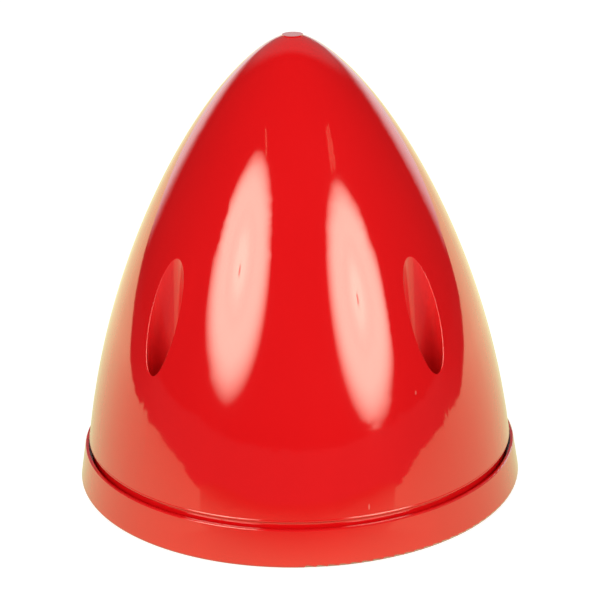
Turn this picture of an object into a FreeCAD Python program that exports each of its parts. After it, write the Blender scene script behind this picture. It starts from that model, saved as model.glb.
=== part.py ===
"""Propeller spinner for a model aircraft: moulded nose cone, cup backplate, four screws.

The origin is the centre of the backplate's rear face, on the crankshaft's axis.
+Z points forward along the shaft to the tip of the nose. All sizes are millimetres.
"""
import FreeCAD, Part
import math
import os

# Backplate: a shallow cup whose rim the nose cone drops into.
base_diameter = 76.0
edge_round = 0.5             # rounding where the rear face meets the rim
rim_height = 6.2
rim_taper_deg = 9.6          # the rim's outside leans in towards the nose
rim_top_wall = 0.5
rim_top_round = 0.2
cup_draft_deg = 4.5          # the cup's inside opens towards its mouth
floor_thickness = 2.2

# Hub boss, where the propeller's hub seats.
shaft_diameter = 8.0
shaft_clearance = 0.1        # on the radius
hub_diameter = 26.0
hub_height = 3.0             # above the cup's floor
hub_round = 0.8

# Ribs on the cup's floor, every second one running out to a screw post.
rib_thickness = 1.6
rib_height = 1.8
rib_end_gap = 0.8            # between a rib's end and the cone's skirt

# Nose cone.
seam_gap = 0.8               # shadow line between the rim's top and the cone's lower edge
skirt_clearance = 0.25       # radial, where the skirt meets the cup's floor
skirt_foot_gap = 0.15        # the posts carry the cone, so its foot hangs just clear
step_depth = 0.3             # the skin's lower edge stands proud of the skirt
bead_height = 0.5            # small rounded bead along that edge
bead_swell = 0.06            # how far the bead stands out from the skin
nose_length = 69.65          # from the skin's lower edge to the tip of its curve
wall = 1.6
nose_wall = 3.0              # at the tip, measured along the axis
tip_bluntness = 0.642        # power of the distance from the tip: 0.5 is a round nose
flank_fullness = 0.38        # swells the middle of the flank
flank_fade = -0.137          # lets that swelling die away towards the tip
gate_diameter = 3.4          # moulding gate, cut off flat across the tip
gate_cut = 0.3               # how much of the tip that takes away

# Self-tapping screws, and the deep pockets that their driver goes down.
screw_count = 4
screw_inset = 7.3            # from the skin's lower edge to the screw's axis
screw_diameter = 2.9
screw_length = 9.5           # under the head
screw_point = 1.4
head_diameter = 5.6
head_height = 2.0
head_side = 0.8              # straight side of the pan head, below its crown
recess_width = 0.8
recess_span = 3.2
recess_depth = 1.2
recess_root = 0.9            # span left at the recess's bottom
thread_clearance = 0.02      # radial, between the thread's crests and the post
tip_clearance = 0.5          # below the screw's point
shank_clearance = 0.2        # radial, in the cone's seat
head_clearance = 0.35        # radial, in the driver pocket
pocket_round = 0.1           # softened lip where a pocket opens through the skin
back_skin = 1.0              # plastic left behind the screw's hole
seat_thickness = 2.0         # plastic clamped under the head
boss_wall = 1.3
post_wall = 2.0
post_round = 0.7
web_thickness = 1.4          # joins each pocket tube to the skin
web_height = 14.0

# Sizes that follow from the ones above.
base_radius = base_diameter / 2
rim_top_radius = base_radius - rim_height * math.tan(math.radians(rim_taper_deg))
cup_mouth_radius = rim_top_radius - rim_top_wall
cup_depth = rim_height - floor_thickness
cup_floor_radius = cup_mouth_radius - cup_depth * math.tan(math.radians(cup_draft_deg))
skirt_radius = cup_floor_radius - skirt_clearance
skirt_foot_z = floor_thickness + skirt_foot_gap
skin_radius = skirt_radius + step_depth
skin_edge_z = rim_height + seam_gap
cavity_radius = skin_radius - wall
tip_z = skin_edge_z + nose_length
gate_z = tip_z - gate_cut
post_top_z = back_skin + tip_clearance + screw_length - seat_thickness
seat_z = post_top_z + seat_thickness
hub_top_z = floor_thickness + hub_height
rib_top_z = floor_thickness + rib_height
bore_radius = shaft_diameter / 2 + shaft_clearance
screw_radius = screw_diameter / 2
screw_circle = skin_radius - screw_inset
pocket_radius = head_diameter / 2 + head_clearance
boss_radius = pocket_radius + boss_wall
post_radius = screw_radius + post_wall
rib_end_radius = cavity_radius - rib_end_gap

UP = FreeCAD.Vector(0, 0, 1)
CENTRE = FreeCAD.Vector(0, 0, 0)


def point(radius, z):
    return FreeCAD.Vector(radius, 0, z)


def revolve(edges):
    """Turn a closed outline in the XZ plane once round the Z axis."""
    face = Part.Face(Part.Wire(edges))
    return face.revolve(CENTRE, UP, 360)


def outline(*points):
    """Straight edges through the points, closed back to the first."""
    return Part.makePolygon(list(points) + [points[0]]).Edges


def ogive(radius, base_z, length):
    """Curve of the nose, from its tip on the axis down to its widest edge."""
    def radius_at(share):
        swell = 1 + flank_fullness * share + flank_fade * share ** 2
        return radius * (1 - share) ** tip_bluntness * swell

    steps = 14
    shares = [1 - (step / steps) ** 1.5 for step in range(steps + 1)]
    curve = Part.BSplineCurve()
    curve.interpolate([point(radius_at(share), base_z + share * length) for share in shares])
    return curve.toShape()


def nose_body():
    """Solid nose: its curved skin, a bead along its lower edge, then a step to the skirt."""
    bead_top = point(skin_radius, skin_edge_z + bead_height)
    bead_foot = point((skin_radius + skirt_radius) / 2, skin_edge_z)
    bead = Part.Arc(bead_top, point(skin_radius + bead_swell, skin_edge_z + bead_height / 2),
                    bead_foot).toShape()
    below = Part.makePolygon([
        bead_foot, point(skirt_radius, skin_edge_z), point(skirt_radius, skirt_foot_z),
        point(0, skirt_foot_z), point(0, tip_z)]).Edges
    return revolve([ogive(skin_radius, bead_top.z, tip_z - bead_top.z), bead] + below)


def nose_cavity():
    """Hollow of the nose, open at its foot, with the same curve as the skin."""
    top_z = tip_z - nose_wall
    below = Part.makePolygon([
        point(cavity_radius, skin_edge_z), point(cavity_radius, 0), point(0, 0),
        point(0, top_z)]).Edges
    return revolve([ogive(cavity_radius, skin_edge_z, top_z - skin_edge_z)] + below)


def around(shape, count, first_deg):
    """Copies of a shape, evenly spaced round the shaft."""
    copies = []
    for index in range(count):
        copy = shape.copy()
        copy.rotate(CENTRE, UP, first_deg + index * 360.0 / count)
        copies.append(copy)
    return copies


def at_screws(shape):
    """Copies of a shape, modelled on the shaft's axis, at every screw."""
    moved = shape.copy()
    moved.translate(point(screw_circle, 0))
    return around(moved, screw_count, 180.0 / screw_count)


def cylinder(radius, low_z, high_z):
    return Part.makeCylinder(radius, high_z - low_z, point(0, low_z))


def round_ring(shape, radius, z, amount):
    """Round the circular edge of the given radius at height z."""
    ring = [edge for edge in shape.Edges
            if abs(edge.BoundBox.ZMin - z) < 1e-3 and abs(edge.BoundBox.ZMax - z) < 1e-3
            and abs(edge.BoundBox.XMax - radius) < 1e-3]
    return shape.makeFillet(amount, ring)


def backplate():
    cup = revolve(outline(
        point(0, 0), point(base_radius, 0),
        point(rim_top_radius, rim_height), point(cup_mouth_radius, rim_height),
        point(cup_floor_radius, floor_thickness), point(0, floor_thickness)))
    cup = round_ring(cup, base_radius, 0, edge_round)
    cup = round_ring(cup, rim_top_radius, rim_height, rim_top_round)
    return cup.fuse([flared_boss(hub_diameter / 2, hub_top_z, hub_round)]
                    + at_screws(flared_boss(post_radius, post_top_z, post_round))
                    + around(rib(), 2 * screw_count, 0)).cut(
        [cylinder(bore_radius, -1, hub_top_z + 1)] + at_screws(screw_hole())).removeSplitter()


def flared_boss(radius, top_z, root_round):
    """Round boss that stands on the cup's floor, with a rounded root."""
    root = floor_thickness
    middle = root_round * (1 - math.sqrt(0.5))
    arc = Part.Arc(point(radius + root_round, root),
                   point(radius + middle, root + middle),
                   point(radius, root + root_round)).toShape()
    sunk = floor_thickness / 2
    return revolve([
        Part.makeLine(point(0, sunk), point(radius + root_round, sunk)),
        Part.makeLine(point(radius + root_round, sunk), point(radius + root_round, root)),
        arc,
        Part.makeLine(point(radius, root + root_round), point(radius, top_z)),
        Part.makeLine(point(radius, top_z), point(0, top_z)),
        Part.makeLine(point(0, top_z), point(0, sunk))])


def rib():
    """Radial rib that starts inside the hub boss and sinks into the floor."""
    start = bore_radius + (hub_diameter / 2 - bore_radius) / 2
    sunk = floor_thickness / 2
    return Part.makeBox(rib_end_radius - start, rib_thickness, rib_top_z - sunk,
                        FreeCAD.Vector(start, -rib_thickness / 2, sunk))


def screw_hole():
    return cylinder(screw_radius + thread_clearance, back_skin, post_top_z + 1)


def nose_cone():
    """Thin shell with a pocket tube, a seat and a web moulded in at every screw."""
    skin = nose_body()
    bosses = at_screws(cylinder(boss_radius, post_top_z, tip_z))
    webs = around(web_plate(), screw_count, 180.0 / screw_count)
    inside = bosses[0].fuse(bosses[1:] + webs).common(skin)
    pockets = at_screws(cylinder(pocket_radius, seat_z, tip_z + 1))
    shanks = at_screws(cylinder(screw_radius + shank_clearance, 0, tip_z))
    gate = cylinder(gate_diameter / 2, tip_z - nose_wall / 2, gate_z)
    above_gate = cylinder(gate_diameter, gate_z, tip_z + 1)
    shell = skin.cut(nose_cavity()).fuse([inside, gate])
    shell = shell.cut(pockets + shanks + [above_gate]).removeSplitter()
    return shell.makeFillet(pocket_round, pocket_lips(shell))


def pocket_lips(shell):
    """Edges that climb the skin round the mouths of the driver pockets."""
    axes = [axis.Point for axis in at_screws(Part.Vertex(CENTRE))]
    lips = []
    for edge in shell.Edges:
        box = edge.BoundBox
        spot = edge.valueAt((edge.FirstParameter + edge.LastParameter) / 2)
        reach = min(math.hypot(spot.x - axis.x, spot.y - axis.y) for axis in axes)
        in_pocket = abs(reach - pocket_radius) < 1e-3
        upright = edge.Length - box.ZLength < 1e-2
        if in_pocket and not upright and box.ZLength > pocket_radius:
            lips.append(edge)
    return lips


def web_plate():
    """Flat web from a pocket tube's outer side to the inside of the skin."""
    return Part.makeBox(skin_radius - screw_circle, web_thickness, web_height,
                        FreeCAD.Vector(screw_circle, -web_thickness / 2, post_top_z))


def cone_screw():
    """Domed pan-head self-tapping screw with a cross recess, its head on the cone's seat."""
    top_z = seat_z + head_height
    head_radius = head_diameter / 2
    point_z = seat_z - screw_length
    crown_height = head_height - head_side
    dome_radius = (head_radius ** 2 + crown_height ** 2) / (2 * crown_height)
    half_way = head_radius / 2
    dome_z = top_z - dome_radius + math.sqrt(dome_radius ** 2 - half_way ** 2)
    crown = Part.Arc(point(head_radius, seat_z + head_side), point(half_way, dome_z),
                     point(0, top_z)).toShape()
    blank = revolve([crown] + Part.makePolygon([
        point(0, top_z), point(0, point_z), point(screw_radius / 3, point_z),
        point(screw_radius, point_z + screw_point), point(screw_radius, seat_z),
        point(head_radius, seat_z), point(head_radius, seat_z + head_side)]).Edges)
    return blank.cut(cross_recess(top_z))


def cross_recess(top_z):
    """Two crossed slots, tapered together towards the bottom of the recess."""
    taper = Part.makeCone(recess_root / 2, recess_span / 2, recess_depth,
                          point(0, top_z - recess_depth))
    taper.rotate(CENTRE, UP, 45)
    bars = []
    for length, width in ((head_diameter, recess_width), (recess_width, head_diameter)):
        bars.append(Part.makeBox(length, width, recess_depth,
                                 FreeCAD.Vector(-length / 2, -width / 2, top_z - recess_depth)))
    return bars[0].fuse(bars[1]).removeSplitter().common(taper)


def main():
    os.makedirs("parts", exist_ok=True)
    nodes = {
        "backplate": backplate(),
        "nose_cone": nose_cone(),
        "cone_screws": Part.makeCompound(at_screws(cone_screw())),
    }
    for name, shape in nodes.items():
        shape.exportStep("parts/" + name + ".step")
        box = shape.BoundBox
        print(name, "solids", len(shape.Solids), "valid", shape.isValid(),
              "volume", round(shape.Volume, 1), "z", round(box.ZMin, 2), round(box.ZMax, 2))


main()
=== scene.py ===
import bpy
import math
from mathutils import Matrix, Vector


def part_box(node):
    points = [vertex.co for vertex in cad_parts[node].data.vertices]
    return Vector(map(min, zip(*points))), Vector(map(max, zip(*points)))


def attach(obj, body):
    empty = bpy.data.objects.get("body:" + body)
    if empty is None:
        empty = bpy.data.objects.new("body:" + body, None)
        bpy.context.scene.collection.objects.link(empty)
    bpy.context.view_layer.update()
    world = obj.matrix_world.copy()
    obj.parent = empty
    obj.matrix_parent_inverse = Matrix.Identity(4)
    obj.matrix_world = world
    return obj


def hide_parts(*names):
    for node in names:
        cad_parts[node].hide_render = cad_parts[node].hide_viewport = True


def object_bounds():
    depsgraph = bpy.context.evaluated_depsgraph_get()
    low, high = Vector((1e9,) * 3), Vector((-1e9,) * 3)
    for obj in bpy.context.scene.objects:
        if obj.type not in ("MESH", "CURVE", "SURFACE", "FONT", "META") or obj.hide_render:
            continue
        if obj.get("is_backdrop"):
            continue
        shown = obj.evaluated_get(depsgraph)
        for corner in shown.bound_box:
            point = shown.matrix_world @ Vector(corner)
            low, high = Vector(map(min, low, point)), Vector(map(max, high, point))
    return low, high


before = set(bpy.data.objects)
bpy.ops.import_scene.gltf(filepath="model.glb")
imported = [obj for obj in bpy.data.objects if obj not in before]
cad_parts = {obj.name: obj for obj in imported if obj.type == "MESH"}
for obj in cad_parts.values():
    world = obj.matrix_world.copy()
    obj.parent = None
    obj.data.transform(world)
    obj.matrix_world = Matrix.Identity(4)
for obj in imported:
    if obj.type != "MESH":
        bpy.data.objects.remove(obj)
cad_low, cad_high = (list(corner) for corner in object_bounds())


# ---- Backplate -----------------------------------------------------------------------------
# The shallow cup at the rear, moulded in glossy red plastic. Its rim stands round the foot of
# the nose cone, and inside it carries the hub boss, the ribs and the four screw posts.

def moulded_red(name, mottle_scale, ripple_height, haze):
    """Glossy plastic under a hard polished skin, with the faint flow and ripple of a mould."""
    material = bpy.data.materials.new(name)
    material.use_nodes = True
    tree = material.node_tree
    nodes, link = tree.nodes, tree.links.new
    plastic = nodes["Principled BSDF"]
    plastic.inputs["IOR"].default_value = 1.65
    plastic.inputs["Coat Weight"].default_value = 1.0
    plastic.inputs["Coat Roughness"].default_value = 0.05
    plastic.inputs["Coat IOR"].default_value = 1.65
    place = nodes.new("ShaderNodeTexCoord")

    # Pigment: long, soft streaks drawn out along the flow of the melt.
    flow = nodes.new("ShaderNodeMapping")
    flow.inputs["Scale"].default_value = (1.0, 1.0, 0.25)
    link(place.outputs["Object"], flow.inputs["Vector"])
    streaks = nodes.new("ShaderNodeTexNoise")
    streaks.inputs["Scale"].default_value = mottle_scale
    streaks.inputs["Detail"].default_value = 4.0
    link(flow.outputs["Vector"], streaks.inputs["Vector"])
    pigment = nodes.new("ShaderNodeValToRGB")
    pigment.color_ramp.elements[0].position = 0.3
    pigment.color_ramp.elements[0].color = (0.745, 0.0050, 0.0075, 1)
    pigment.color_ramp.elements[1].position = 0.7
    pigment.color_ramp.elements[1].color = (0.810, 0.0066, 0.0092, 1)
    link(streaks.outputs["Fac"], pigment.inputs["Fac"])
    link(pigment.outputs["Color"], plastic.inputs["Base Color"])

    # Gloss: the polished mould's finish, dulled a little in patches by handling.
    handling = nodes.new("ShaderNodeTexNoise")
    handling.inputs["Scale"].default_value = 55.0
    handling.inputs["Detail"].default_value = 5.0
    link(place.outputs["Object"], handling.inputs["Vector"])
    dulling = nodes.new("ShaderNodeMapRange")
    dulling.inputs["From Min"].default_value = 0.35
    dulling.inputs["From Max"].default_value = 0.75
    dulling.inputs["To Min"].default_value = haze
    dulling.inputs["To Max"].default_value = haze + 0.04
    link(handling.outputs["Fac"], dulling.inputs["Value"])
    link(dulling.outputs["Result"], plastic.inputs["Roughness"])

    # Surface: slow shrinkage ripple under a very fine grain.
    ripple = nodes.new("ShaderNodeTexNoise")
    ripple.inputs["Scale"].default_value = 160.0
    ripple.inputs["Detail"].default_value = 2.0
    link(place.outputs["Object"], ripple.inputs["Vector"])
    grain = nodes.new("ShaderNodeTexNoise")
    grain.inputs["Scale"].default_value = 2600.0
    link(place.outputs["Object"], grain.inputs["Vector"])
    relief = nodes.new("ShaderNodeMath")
    relief.operation = "MULTIPLY_ADD"
    relief.inputs[1].default_value = 0.03
    link(grain.outputs["Fac"], relief.inputs[0])
    link(ripple.outputs["Fac"], relief.inputs[2])
    bump = nodes.new("ShaderNodeBump")
    bump.inputs["Strength"].default_value = 1.0
    bump.inputs["Distance"].default_value = ripple_height
    link(relief.outputs["Value"], bump.inputs["Height"])
    link(bump.outputs["Normal"], plastic.inputs["Normal"])
    link(bump.outputs["Normal"], plastic.inputs["Coat Normal"])
    return material


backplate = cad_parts["backplate"]
backplate.material_slots[0].material = moulded_red(
    "backplate_red", mottle_scale=60.0, ripple_height=0.0000035, haze=0.07)


# ---- Nose cone -----------------------------------------------------------------------------
# One thin glossy moulding, drawn out to a blunt point, with four deep screw pockets let into
# its flanks. The mould is polished outside and spark-eroded in the pockets, which are duller.
# The pocket walls also carry a lighter red, painted light that stands in for the light they
# catch.

screws_low, screws_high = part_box("cone_screws")
head_radius = 0.0028
screw_offset = screws_high.x - head_radius   # the screws' place along both X and Y
pocket_radius = 0.00315


def dull_pockets_with_painted_light(material, roughness, painted_light_colour):
    """Duller walls in the four pockets, which stand at plus and minus the offset in X and Y.
    The walls are also painted a lighter red: painted light for the light they catch.
    """
    tree = material.node_tree
    nodes, link = tree.nodes, tree.links.new
    plastic = nodes["Principled BSDF"]
    polish = plastic.inputs["Roughness"].links[0].from_socket
    place = nodes.new("ShaderNodeTexCoord")
    folded = nodes.new("ShaderNodeVectorMath")
    folded.operation = "ABSOLUTE"
    link(place.outputs["Object"], folded.inputs[0])
    flat = nodes.new("ShaderNodeVectorMath")
    flat.operation = "MULTIPLY"
    flat.inputs[1].default_value = (1, 1, 0)
    link(folded.outputs["Vector"], flat.inputs[0])
    reach = nodes.new("ShaderNodeVectorMath")
    reach.operation = "DISTANCE"
    reach.inputs[1].default_value = (screw_offset, screw_offset, 0)
    link(flat.outputs["Vector"], reach.inputs[0])
    wall = nodes.new("ShaderNodeMapRange")
    wall.inputs["From Min"].default_value = pocket_radius + 0.00008
    wall.inputs["From Max"].default_value = pocket_radius - 0.00002
    link(reach.outputs["Value"], wall.inputs["Value"])
    finish = nodes.new("ShaderNodeMix")
    link(wall.outputs["Result"], finish.inputs["Factor"])
    link(polish, finish.inputs["A"])
    finish.inputs["B"].default_value = roughness
    link(finish.outputs["Result"], plastic.inputs["Roughness"])
    pigment = plastic.inputs["Base Color"].links[0].from_socket
    # Painted light: the pocket walls take a lighter red that stands in for the light they catch.
    painted_pocket_light = nodes.new("ShaderNodeMix")
    painted_pocket_light.data_type = "RGBA"
    link(wall.outputs["Result"], painted_pocket_light.inputs["Factor"])
    link(pigment, painted_pocket_light.inputs[6])
    painted_pocket_light.inputs[7].default_value = painted_light_colour
    link(painted_pocket_light.outputs[2], plastic.inputs["Base Color"])


def pale_streak(material, spot, size):
    """One small pale upright streak in the colour, at the spot."""
    tree = material.node_tree
    nodes, link = tree.nodes, tree.links.new
    plastic = nodes["Principled BSDF"]
    pigment = plastic.inputs["Base Color"].links[0].from_socket
    place = nodes.new("ShaderNodeTexCoord")
    away = nodes.new("ShaderNodeVectorMath")
    away.operation = "SUBTRACT"
    away.inputs[1].default_value = spot
    link(place.outputs["Object"], away.inputs[0])
    spread = nodes.new("ShaderNodeVectorMath")
    spread.operation = "DIVIDE"
    spread.inputs[1].default_value = size
    link(away.outputs["Vector"], spread.inputs[0])
    reach = nodes.new("ShaderNodeVectorMath")
    reach.operation = "LENGTH"
    link(spread.outputs["Vector"], reach.inputs[0])
    mark = nodes.new("ShaderNodeMapRange")
    mark.inputs["From Min"].default_value = 1.0
    mark.inputs["From Max"].default_value = 0.5
    mark.inputs["To Max"].default_value = 0.6
    link(reach.outputs["Value"], mark.inputs["Value"])
    streaked = nodes.new("ShaderNodeMix")
    streaked.data_type = "RGBA"
    link(mark.outputs["Result"], streaked.inputs["Factor"])
    link(pigment, streaked.inputs[6])
    streaked.inputs[7].default_value = (0.85, 0.25, 0.22, 1)
    link(streaked.outputs[2], plastic.inputs["Base Color"])


nose_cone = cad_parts["nose_cone"]
cone_red = moulded_red("nose_cone_red", mottle_scale=40.0, ripple_height=0.0000035, haze=0.05)
# The pockets' lighter red is painted light, not a colour of the moulding.
dull_pockets_with_painted_light(cone_red, roughness=0.42, painted_light_colour=(0.92, 0.016, 0.020, 1))
pale_streak(cone_red, spot=(0.01162, -0.03407, 0.0088), size=(0.00016, 0.0006, 0.0006))
pale_streak(cone_red, spot=(0.01910, -0.02645, 0.0249), size=(0.00016, 0.0005, 0.0004))
nose_cone.material_slots[0].material = cone_red


# ---- Cone screws ---------------------------------------------------------------------------
# Four bright zinc-plated self-tapping screws, cold-headed with a cross recess and then
# thread-rolled. They stand deep in the cone's pockets and clamp it to the backplate.

head_height = 0.002
crown_top = 0.00196          # the head's highest point, beside its recess
straight_side = 0.0008       # below the crown
recess_half_width = 0.0004
recess_half_span = 0.0016
recess_depth = 0.0011
recess_wall = 0.00014        # how far the recess's walls lean in on the way down
under_head = screws_high.z - crown_top
screw_length = under_head - screws_low.z
screw_circle = screw_offset * math.sqrt(2)


def crown_point(share, turn):
    """Point on the head's domed top, with the cross pressed in, at a share of its radius."""
    x = head_radius * share * math.cos(turn)
    y = head_radius * share * math.sin(turn)
    dome = math.sqrt(1 - 0.96 * share ** 2) - 0.2 * share ** 2
    narrow, far = min(abs(x), abs(y)), max(abs(x), abs(y))
    inside = min(recess_half_width - narrow, (recess_half_span - far) * 0.8)
    pressed = recess_depth * min(max(inside / recess_wall, 0), 1)
    return x, y, straight_side + (head_height - straight_side) * dome - pressed


def pan_head():
    """Low domed head with straight sides and a tapered cross pressed into its crown."""
    around, rings = 96, 20
    turns = [2 * math.pi * step / around for step in range(around)]
    verts = [(0, 0, 0)]
    verts += [(head_radius * math.cos(turn), head_radius * math.sin(turn), 0) for turn in turns]
    for ring in range(rings):
        verts += [crown_point(1 - ring / rings, turn) for turn in turns]
    verts.append(crown_point(0, 0))
    faces = []
    for step in range(around):
        after = (step + 1) % around
        faces.append((0, 1 + after, 1 + step))
        for low in range(1, 1 + around * rings, around):
            high = low + around
            faces.append((low + step, low + after, high + after, high + step))
        last = 1 + around * rings
        faces.append((last + step, last + after, len(verts) - 1))
    mesh = bpy.data.meshes.new("pan_head")
    mesh.from_pydata(verts, [], faces)
    return mesh


def bright_zinc():
    """Zinc plate over steel: faintly bluish, in brighter and duller patches."""
    material = bpy.data.materials.new("bright_zinc")
    material.use_nodes = True
    tree = material.node_tree
    nodes, link = tree.nodes, tree.links.new
    steel = nodes["Principled BSDF"]
    steel.inputs["Metallic"].default_value = 1.0
    place = nodes.new("ShaderNodeTexCoord")
    patches = nodes.new("ShaderNodeTexNoise")
    patches.inputs["Scale"].default_value = 900.0
    patches.inputs["Detail"].default_value = 4.0
    link(place.outputs["Object"], patches.inputs["Vector"])
    plating = nodes.new("ShaderNodeValToRGB")
    plating.color_ramp.elements[0].position = 0.3
    plating.color_ramp.elements[0].color = (0.46, 0.47, 0.49, 1)
    plating.color_ramp.elements[1].position = 0.7
    plating.color_ramp.elements[1].color = (0.60, 0.61, 0.62, 1)
    link(patches.outputs["Fac"], plating.inputs["Fac"])
    link(plating.outputs["Color"], steel.inputs["Base Color"])
    dulling = nodes.new("ShaderNodeMapRange")
    dulling.inputs["From Min"].default_value = 0.3
    dulling.inputs["From Max"].default_value = 0.7
    dulling.inputs["To Min"].default_value = 0.42
    dulling.inputs["To Max"].default_value = 0.26
    link(patches.outputs["Fac"], dulling.inputs["Value"])
    link(dulling.outputs["Result"], steel.inputs["Roughness"])
    bump = nodes.new("ShaderNodeBump")
    bump.inputs["Distance"].default_value = 0.000008
    link(patches.outputs["Fac"], bump.inputs["Height"])
    link(bump.outputs["Normal"], steel.inputs["Normal"])
    return material


def screw_tree(material):
    """Adds shank and rolled thread to a head, then stands one such screw in every pocket."""
    tree = bpy.data.node_groups.new("cone_screws", "GeometryNodeTree")
    face = tree.interface
    face.new_socket("Head", in_out="INPUT", socket_type="NodeSocketGeometry")
    for name in ("Length", "Crest radius", "Root radius", "Pitch", "Screw circle",
                 "Height under head"):
        face.new_socket(name, in_out="INPUT", socket_type="NodeSocketFloat")
    face.new_socket("Count", in_out="INPUT", socket_type="NodeSocketInt")
    face.new_socket("Screws", in_out="OUTPUT", socket_type="NodeSocketGeometry")
    nodes, link = tree.nodes, tree.links.new
    sizes = nodes.new("NodeGroupInput").outputs

    def reckon(operation, first, second, third=None):
        step = nodes.new("ShaderNodeMath")
        step.operation = operation
        for socket, value in zip(step.inputs, (first, second, third)):
            if isinstance(value, bpy.types.NodeSocket):
                link(value, socket)
            elif value is not None:
                socket.default_value = value
        return step.outputs[0]

    # Shank: a closed cylinder on the root radius, from the head down to the point.
    point_length = reckon("MULTIPLY", sizes["Crest radius"], 1.2)
    straight = reckon("SUBTRACT", sizes["Length"], point_length)
    shank = nodes.new("GeometryNodeMeshCylinder")
    shank.inputs["Vertices"].default_value = 40
    link(sizes["Root radius"], shank.inputs["Radius"])
    link(straight, shank.inputs["Depth"])
    shank_place = nodes.new("ShaderNodeCombineXYZ")
    link(reckon("MULTIPLY", straight, -0.5), shank_place.inputs["Z"])
    lowered = nodes.new("GeometryNodeTransform")
    link(shank.outputs["Mesh"], lowered.inputs["Geometry"])
    link(shank_place.outputs["Vector"], lowered.inputs["Translation"])
    tip = nodes.new("GeometryNodeMeshCone")
    tip.inputs["Vertices"].default_value = 40
    link(reckon("MULTIPLY", sizes["Root radius"], 0.3), tip.inputs["Radius Bottom"])
    link(sizes["Root radius"], tip.inputs["Radius Top"])
    link(point_length, tip.inputs["Depth"])
    tip_place = nodes.new("ShaderNodeCombineXYZ")
    link(reckon("MULTIPLY", sizes["Length"], -1.0), tip_place.inputs["Z"])
    tip_lowered = nodes.new("GeometryNodeTransform")
    link(tip.outputs["Mesh"], tip_lowered.inputs["Geometry"])
    link(tip_place.outputs["Vector"], tip_lowered.inputs["Translation"])

    # Thread: a sharp ridge that climbs the shank, right-handed, and runs out at both ends.
    turns = reckon("DIVIDE", reckon("MULTIPLY", straight, 0.94), sizes["Pitch"])
    helix = nodes.new("GeometryNodeCurveSpiral")
    helix.inputs["Resolution"].default_value = 40
    link(turns, helix.inputs["Rotations"])
    link(sizes["Root radius"], helix.inputs["Start Radius"])
    link(sizes["Root radius"], helix.inputs["End Radius"])
    link(reckon("MULTIPLY", straight, 0.94), helix.inputs["Height"])
    helix_place = nodes.new("ShaderNodeCombineXYZ")
    link(reckon("MULTIPLY", straight, -0.98), helix_place.inputs["Z"])
    helix_lowered = nodes.new("GeometryNodeTransform")
    link(helix.outputs["Curve"], helix_lowered.inputs["Geometry"])
    link(helix_place.outputs["Vector"], helix_lowered.inputs["Translation"])
    upright = nodes.new("GeometryNodeSetCurveNormal")
    upright.mode = "Z_UP"
    link(helix_lowered.outputs["Geometry"], upright.inputs["Curve"])
    ridge = nodes.new("GeometryNodeCurvePrimitiveCircle")
    ridge.inputs["Resolution"].default_value = 4
    link(reckon("SUBTRACT", sizes["Crest radius"], sizes["Root radius"]),
         ridge.inputs["Radius"])
    share = nodes.new("GeometryNodeSplineParameter").outputs["Factor"]
    end_distance = reckon("MINIMUM", share, reckon("SUBTRACT", 1.0, share))
    run_out = reckon("MINIMUM", reckon("MULTIPLY_ADD", end_distance, 9.0, 0.05), 1.0)
    thread = nodes.new("GeometryNodeCurveToMesh")
    thread.inputs["Fill Caps"].default_value = True
    link(upright.outputs["Curve"], thread.inputs["Curve"])
    link(ridge.outputs["Curve"], thread.inputs["Profile Curve"])
    link(run_out, thread.inputs["Scale"])

    # One whole screw, then a copy at every pocket, each driven home to a turn of its own.
    whole = nodes.new("GeometryNodeJoinGeometry")
    for part in (thread.outputs["Mesh"], lowered.outputs["Geometry"],
                 tip_lowered.outputs["Geometry"], sizes["Head"]):
        link(part, whole.inputs["Geometry"])
    ring = nodes.new("GeometryNodeMeshCircle")
    link(sizes["Count"], ring.inputs["Vertices"])
    link(sizes["Screw circle"], ring.inputs["Radius"])
    stand = nodes.new("GeometryNodeInstanceOnPoints")
    link(ring.outputs["Mesh"], stand.inputs["Points"])
    link(whole.outputs["Geometry"], stand.inputs["Instance"])
    driven = nodes.new("FunctionNodeRandomValue")
    driven.data_type = "FLOAT"
    driven.inputs["Seed"].default_value = 7
    driven.inputs[3].default_value = 6.2   # the widest turn, in radians
    spun = nodes.new("ShaderNodeCombineXYZ")
    link(driven.outputs[1], spun.inputs["Z"])
    link(spun.outputs["Vector"], stand.inputs["Rotation"])
    place = nodes.new("GeometryNodeTransform")
    place.inputs["Rotation"].default_value = (0, 0, math.radians(45))
    lift = nodes.new("ShaderNodeCombineXYZ")
    link(sizes["Height under head"], lift.inputs["Z"])
    link(lift.outputs["Vector"], place.inputs["Translation"])
    link(stand.outputs["Instances"], place.inputs["Geometry"])
    solid = nodes.new("GeometryNodeRealizeInstances")
    link(place.outputs["Geometry"], solid.inputs["Geometry"])
    plated = nodes.new("GeometryNodeSetMaterial")
    plated.inputs["Material"].default_value = material
    link(solid.outputs["Geometry"], plated.inputs["Geometry"])
    link(plated.outputs["Geometry"], nodes.new("NodeGroupOutput").inputs["Screws"])
    return tree


cone_screws = bpy.data.objects.new("cone_screws_threaded", pan_head())
bpy.context.scene.collection.objects.link(cone_screws)
maker = cone_screws.modifiers.new("screws", "NODES")
maker.node_group = screw_tree(bright_zinc())
screw_sizes = {"Length": screw_length, "Crest radius": 0.00145, "Root radius": 0.00106,
               "Pitch": 0.0011, "Screw circle": screw_circle,
               "Height under head": under_head, "Count": 4}
for item in maker.node_group.interface.items_tree:
    if item.name in screw_sizes:
        maker[item.identifier] = screw_sizes[item.name]
bpy.context.view_layer.update()
evaluated = cone_screws.evaluated_get(bpy.context.evaluated_depsgraph_get())
threaded = bpy.data.meshes.new_from_object(evaluated)
cone_screws.modifiers.clear()
cone_screws.data = threaded
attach(cone_screws, "root")
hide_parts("cone_screws")


# ---- Table, lamps and camera ---------------------------------------------------------------
# The spinner stands on a white paper sheet, in front of plain white, between two round soft
# lamps, one on each side of the camera. The table under the sheet shows only in the gloss.

camera_turn = math.radians(1.5)
middle = Vector((0, 0, (cad_high[2] - cad_low[2]) / 2))


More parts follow.
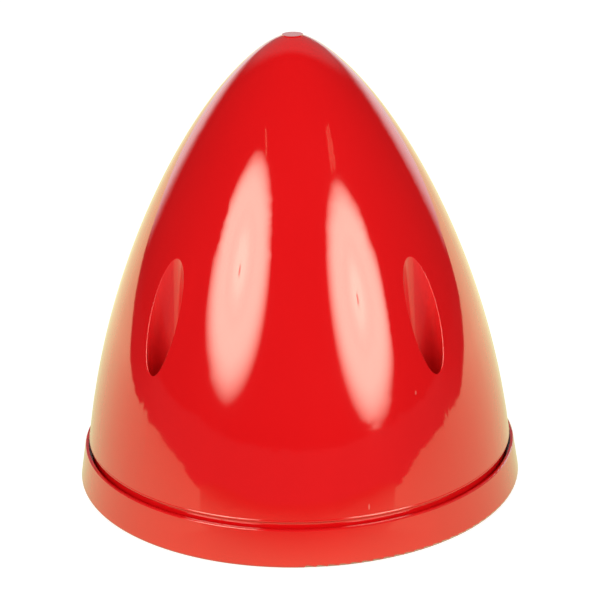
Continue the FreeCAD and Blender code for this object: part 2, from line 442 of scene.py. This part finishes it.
def studio(azimuth_deg, elevation_deg, distance):
    """A place round the spinner, its azimuth counted from the camera's side, right positive."""
    azimuth = math.radians(azimuth_deg) + camera_turn
    elevation = math.radians(elevation_deg)
    return middle + distance * Vector((math.sin(azimuth) * math.cos(elevation),
                                       -math.cos(azimuth) * math.cos(elevation),
                                       math.sin(elevation)))


def turned_to_spinner(place):
    return (middle - place).to_track_quat("-Z", "Y")


def rectangle(half_width, front, back):
    return [(-half_width, front), (half_width, front), (half_width, back), (-half_width, back)]


def sheet_outline():
    """The sheet from above: cut back in front of the spinner, with round front corners and
    sides that open outwards all the way to the horizon."""
    front = -0.080
    cut_half_width, cut_depth = 0.0435, 0.024
    lip_half_width, lip_depth = 0.067, 0.007
    corner_x, corner_radius = 0.119, 0.096
    horizon = 3.9
    right = [(cut_half_width, front + cut_depth), (lip_half_width, front + lip_depth)]
    for turn_deg in range(-90, 1, 15):
        turn = math.radians(turn_deg)
        right.append((corner_x + corner_radius * math.cos(turn),
                      front + corner_radius * (1 + math.sin(turn))))
    right.append((horizon, horizon))
    return right + [(-x, y) for x, y in reversed(right)]


def white_ground(name, corners, height, far_level, near_level, tint, faded_width):
    """A flat ground that looks white, keeps a soft shadow, and shows in gloss by its level.

    The level falls from far to near, and dies away in front of the spinner within the
    faded width. A negative width leaves no fade anywhere."""
    mesh = bpy.data.meshes.new(name)
    mesh.from_pydata([(x, y, height) for x, y in corners], [], [range(len(corners))])
    ground = bpy.data.objects.new(name, mesh)
    bpy.context.scene.collection.objects.link(ground)
    material = bpy.data.materials.new(name)
    material.use_nodes = True
    tree = material.node_tree
    nodes, link = tree.nodes, tree.links.new
    nodes.remove(nodes["Principled BSDF"])

    # To the camera: white, with only the shadow showing.
    seen = nodes.new("ShaderNodeAddShader")
    glow = nodes.new("ShaderNodeEmission")
    glow.inputs["Strength"].default_value = 0.84
    shaded = nodes.new("ShaderNodeBsdfDiffuse")
    shaded.inputs["Color"].default_value = (0.45, 0.45, 0.45, 1)
    link(glow.outputs[0], seen.inputs[0])
    link(shaded.outputs[0], seen.inputs[1])

    # In gloss: a level that follows the distance behind or in front of the shaft.
    place = nodes.new("ShaderNodeTexCoord")
    parts = nodes.new("ShaderNodeSeparateXYZ")
    link(place.outputs["Object"], parts.inputs["Vector"])
    depth = nodes.new("ShaderNodeMapRange")
    depth.inputs["From Min"].default_value = -0.08
    depth.inputs["From Max"].default_value = 0.10
    depth.inputs["To Min"].default_value = near_level
    depth.inputs["To Max"].default_value = far_level
    link(parts.outputs["Y"], depth.inputs["Value"])
    aside = nodes.new("ShaderNodeMath")
    aside.operation = "ABSOLUTE"
    link(parts.outputs["X"], aside.inputs[0])
    beyond = nodes.new("ShaderNodeMapRange")
    beyond.inputs["From Min"].default_value = faded_width / 2 - 0.006
    beyond.inputs["From Max"].default_value = faded_width / 2 + 0.006
    beyond.inputs["To Max"].default_value = 5.0   # so far that nothing fades there
    link(aside.outputs["Value"], beyond.inputs["Value"])
    ahead = nodes.new("ShaderNodeMath")
    ahead.operation = "ADD"
    link(parts.outputs["Y"], ahead.inputs[0])
    link(beyond.outputs["Result"], ahead.inputs[1])
    fade = nodes.new("ShaderNodeMapRange")
    fade.interpolation_type = "SMOOTHSTEP"
    fade.inputs["From Min"].default_value = -0.098
    fade.inputs["From Max"].default_value = -0.030
    fade.inputs["To Min"].default_value = 0.13
    link(ahead.outputs["Value"], fade.inputs["Value"])
    level = nodes.new("ShaderNodeMath")
    level.operation = "MULTIPLY"
    link(depth.outputs["Result"], level.inputs[0])
    link(fade.outputs["Result"], level.inputs[1])
    mirrored = nodes.new("ShaderNodeEmission")
    mirrored.inputs["Color"].default_value = tint
    link(level.outputs["Value"], mirrored.inputs["Strength"])

    # To the soft light that it throws back: plain matt paper.
    paper = nodes.new("ShaderNodeBsdfDiffuse")
    paper.inputs["Color"].default_value = (0.5 * far_level,) * 3 + (1,)

    rays = nodes.new("ShaderNodeLightPath")
    in_gloss = nodes.new("ShaderNodeMixShader")
    link(rays.outputs["Is Glossy Ray"], in_gloss.inputs["Fac"])
    link(paper.outputs[0], in_gloss.inputs[1])
    link(mirrored.outputs[0], in_gloss.inputs[2])
    choice = nodes.new("ShaderNodeMixShader")
    link(rays.outputs["Is Camera Ray"], choice.inputs["Fac"])
    link(in_gloss.outputs[0], choice.inputs[1])
    link(seen.outputs[0], choice.inputs[2])
    link(choice.outputs[0], nodes["Material Output"].inputs["Surface"])
    mesh.materials.append(material)
    ground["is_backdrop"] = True


cream = (1.0, 0.95, 0.55, 1)
white_ground("paper_sheet", sheet_outline(), height=-0.0002,
             far_level=1.0, near_level=0.55, tint=cream, faded_width=0.082)
white_ground("paper_front", rectangle(0.075, -0.100, -0.040), height=-0.0003,
             far_level=1.0, near_level=0.55, tint=cream, faded_width=1.0)
white_ground("table_top", rectangle(4, -4, 4), height=-0.0004,
             far_level=0.03, near_level=0.065, tint=(1, 1, 1, 1), faded_width=-1.0)

lamp_distance = 0.9


def soft_lamp(name, azimuth_deg, elevation_deg, half_wide_deg, half_tall_deg):
    """A round lamp with a hot middle and a fading edge, turned to face the spinner."""
    lamp_data = bpy.data.lights.new(name, "AREA")
    lamp_data.shape = "ELLIPSE"
    lamp_data.size = 2 * lamp_distance * math.tan(math.radians(half_wide_deg))
    lamp_data.size_y = 2 * lamp_distance * math.tan(math.radians(half_tall_deg))
    area = math.pi * lamp_data.size * lamp_data.size_y / 4
    brightness = 6.15
    lamp_data.color = (1.0, 0.86, 0.70)
    lamp_data.energy = brightness * math.pi * area
    lamp_data.use_nodes = True
    tree = lamp_data.node_tree
    nodes, link = tree.nodes, tree.links.new
    glow = nodes["Emission"]
    face = nodes.new("ShaderNodeNewGeometry")
    radius = nodes.new("ShaderNodeVectorMath")
    radius.operation = "DISTANCE"
    radius.inputs[1].default_value = (0.5, 0.5, 0)
    link(face.outputs["Parametric"], radius.inputs[0])
    fade = nodes.new("ShaderNodeValToRGB")
    # Brightness outwards from the lamp's middle: a hot spot, a faint ring, then the soft edge.
    stops = [(0.0, 1.0), (0.08, 0.98), (0.14, 0.84), (0.20, 0.79), (0.26, 0.83), (0.34, 0.80),
             (0.40, 0.62), (0.45, 0.34), (0.5, 0.04)]
    while len(fade.color_ramp.elements) < len(stops):
        fade.color_ramp.elements.new(0.5)
    for element, (position, level) in zip(fade.color_ramp.elements, stops):
        element.position = position
        element.color = (level, level, level, 1)
    link(radius.outputs["Value"], fade.inputs["Fac"])
    link(fade.outputs["Color"], glow.inputs["Strength"])
    lamp = bpy.data.objects.new(name, lamp_data)
    lamp.location = studio(azimuth_deg, elevation_deg, lamp_distance)
    lamp.rotation_euler = turned_to_spinner(lamp.location).to_euler()
    lamp.visible_camera = False
    bpy.context.scene.collection.objects.link(lamp)


soft_lamp("left_lamp", -42, 25.5, 20, 22)
soft_lamp("right_lamp", 41.7, 20, 18.6, 21)


def lamp_strip(name, azimuth_deg, elevation_deg, lean_deg, length_deg):
    """A thin bright strip beside a lamp, where its cloth is stretched over a rod."""
    strip_data = bpy.data.lights.new(name, "AREA")
    strip_data.shape = "RECTANGLE"
    strip_data.size = 0.006
    strip_data.size_y = 2 * lamp_distance * math.tan(math.radians(length_deg / 2))
    brightness = 1.8
    strip_data.color = (1.0, 0.80, 0.50)
    strip_data.energy = brightness * math.pi * strip_data.size * strip_data.size_y
    strip = bpy.data.objects.new(name, strip_data)
    strip.location = studio(azimuth_deg, elevation_deg, lamp_distance)
    lean = Matrix.Rotation(math.radians(lean_deg), 3, "Z").to_quaternion()
    strip.rotation_mode = "QUATERNION"
    strip.rotation_quaternion = turned_to_spinner(strip.location) @ lean
    strip.visible_camera = False
    bpy.context.scene.collection.objects.link(strip)


lamp_strip("left_strip", -42, 50.5, 50, 9)
for number, azimuth_deg in enumerate((47, 50, 53)):
    lamp_strip("right_strip_" + str(number), azimuth_deg, 47, -38, 11)


def bulb(name, azimuth_deg, elevation_deg):
    """The unlit end of a lamp's bulb, a small dark upright rod in front of the cloth."""
    radius, half_height, sides, distance = 0.007, 0.012, 16, 0.87
    turns = [2 * math.pi * side / sides for side in range(sides)]
    verts = [(radius * math.cos(turn), radius * math.sin(turn), z)
             for z in (-half_height, half_height) for turn in turns]
    faces = []
    for side in range(sides):
        after = (side + 1) % sides
        faces.append((side, after, sides + after, sides + side))
    mesh = bpy.data.meshes.new(name)
    mesh.from_pydata(verts, [], faces)
    rod = bpy.data.objects.new(name, mesh)
    rod.location = studio(azimuth_deg, elevation_deg, distance)
    rod.visible_camera = False
    bpy.context.scene.collection.objects.link(rod)
    dark = bpy.data.materials.new(name)
    dark.use_nodes = True
    glass = dark.node_tree.nodes["Principled BSDF"]
    glass.inputs["Base Color"].default_value = (0.05, 0.05, 0.045, 1)
    mesh.materials.append(dark)
    rod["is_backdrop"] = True


bulb("left_bulb", -42, 24.5)
bulb("right_bulb", 41.5, 19.5)

# The room is plain white to the camera, and gives an even, dimmer fill to matt surfaces. In gloss
# it is white low down behind the spinner, faint overhead, and unlit behind the camera.
world = bpy.data.worlds.new("white_room")
world.use_nodes = True
bpy.context.scene.world = world
nodes, link = world.node_tree.nodes, world.node_tree.links.new
rays = nodes.new("ShaderNodeLightPath")
direction = nodes.new("ShaderNodeTexCoord")
parts = nodes.new("ShaderNodeSeparateXYZ")
link(direction.outputs["Generated"], parts.inputs["Vector"])
behind = nodes.new("ShaderNodeMapRange")
behind.interpolation_type = "SMOOTHSTEP"
behind.inputs["From Min"].default_value = 0.60
behind.inputs["From Max"].default_value = 0.80
link(parts.outputs["Y"], behind.inputs["Value"])
low_down = nodes.new("ShaderNodeMapRange")
low_down.interpolation_type = "SMOOTHSTEP"
low_down.inputs["From Min"].default_value = 0.12
low_down.inputs["From Max"].default_value = 0.34
low_down.inputs["To Min"].default_value = 1.0
low_down.inputs["To Max"].default_value = 0.1
link(parts.outputs["Z"], low_down.inputs["Value"])
white_wall = nodes.new("ShaderNodeMath")
white_wall.operation = "MULTIPLY"
link(behind.outputs["Result"], white_wall.inputs[0])
link(low_down.outputs["Result"], white_wall.inputs[1])
overhead = nodes.new("ShaderNodeMath")
overhead.operation = "ADD"
link(parts.outputs["Y"], overhead.inputs[0])
link(parts.outputs["Z"], overhead.inputs[1])
ceiling = nodes.new("ShaderNodeMapRange")
ceiling.interpolation_type = "SMOOTHSTEP"
ceiling.inputs["From Min"].default_value = 1.05
ceiling.inputs["From Max"].default_value = 1.2
ceiling.inputs["To Min"].default_value = 0.02
ceiling.inputs["To Max"].default_value = 0.2
link(overhead.outputs["Value"], ceiling.inputs["Value"])
room_level = nodes.new("ShaderNodeMath")
room_level.operation = "MAXIMUM"
link(white_wall.outputs["Value"], room_level.inputs[0])
link(ceiling.outputs["Result"], room_level.inputs[1])
in_gloss = nodes.new("ShaderNodeMix")
in_gloss.inputs["A"].default_value = 0.48
link(rays.outputs["Is Glossy Ray"], in_gloss.inputs["Factor"])
link(room_level.outputs["Value"], in_gloss.inputs["B"])
brightness = nodes.new("ShaderNodeMix")
brightness.inputs["B"].default_value = 1.0
link(rays.outputs["Is Camera Ray"], brightness.inputs["Factor"])
link(in_gloss.outputs["Result"], brightness.inputs["A"])
link(brightness.outputs["Result"], nodes["Background"].inputs["Strength"])
nodes["Background"].inputs["Color"].default_value = (1, 1, 1, 1)

camera_data = bpy.data.cameras.new("camera")
camera_data.lens = 115.25
camera_data.sensor_width = 36.0
camera_data.clip_end = 20.0
camera = bpy.data.objects.new("camera", camera_data)
bpy.context.scene.collection.objects.link(camera)
walk_round = Matrix.Rotation(camera_turn, 4, "Z")
eye = walk_round @ Vector((0, -0.304, 0.1457))
aim = walk_round @ Vector((0.0005, 0, 0.0306))
camera.location = eye
level = (aim - eye).to_track_quat("-Z", "Y")
roll = Matrix.Rotation(math.radians(-0.96), 3, "Z").to_quaternion()
camera.rotation_mode = "QUATERNION"
camera.rotation_quaternion = level @ roll
bpy.context.scene.camera = camera
bpy.context.scene.view_settings.view_transform = "Standard"
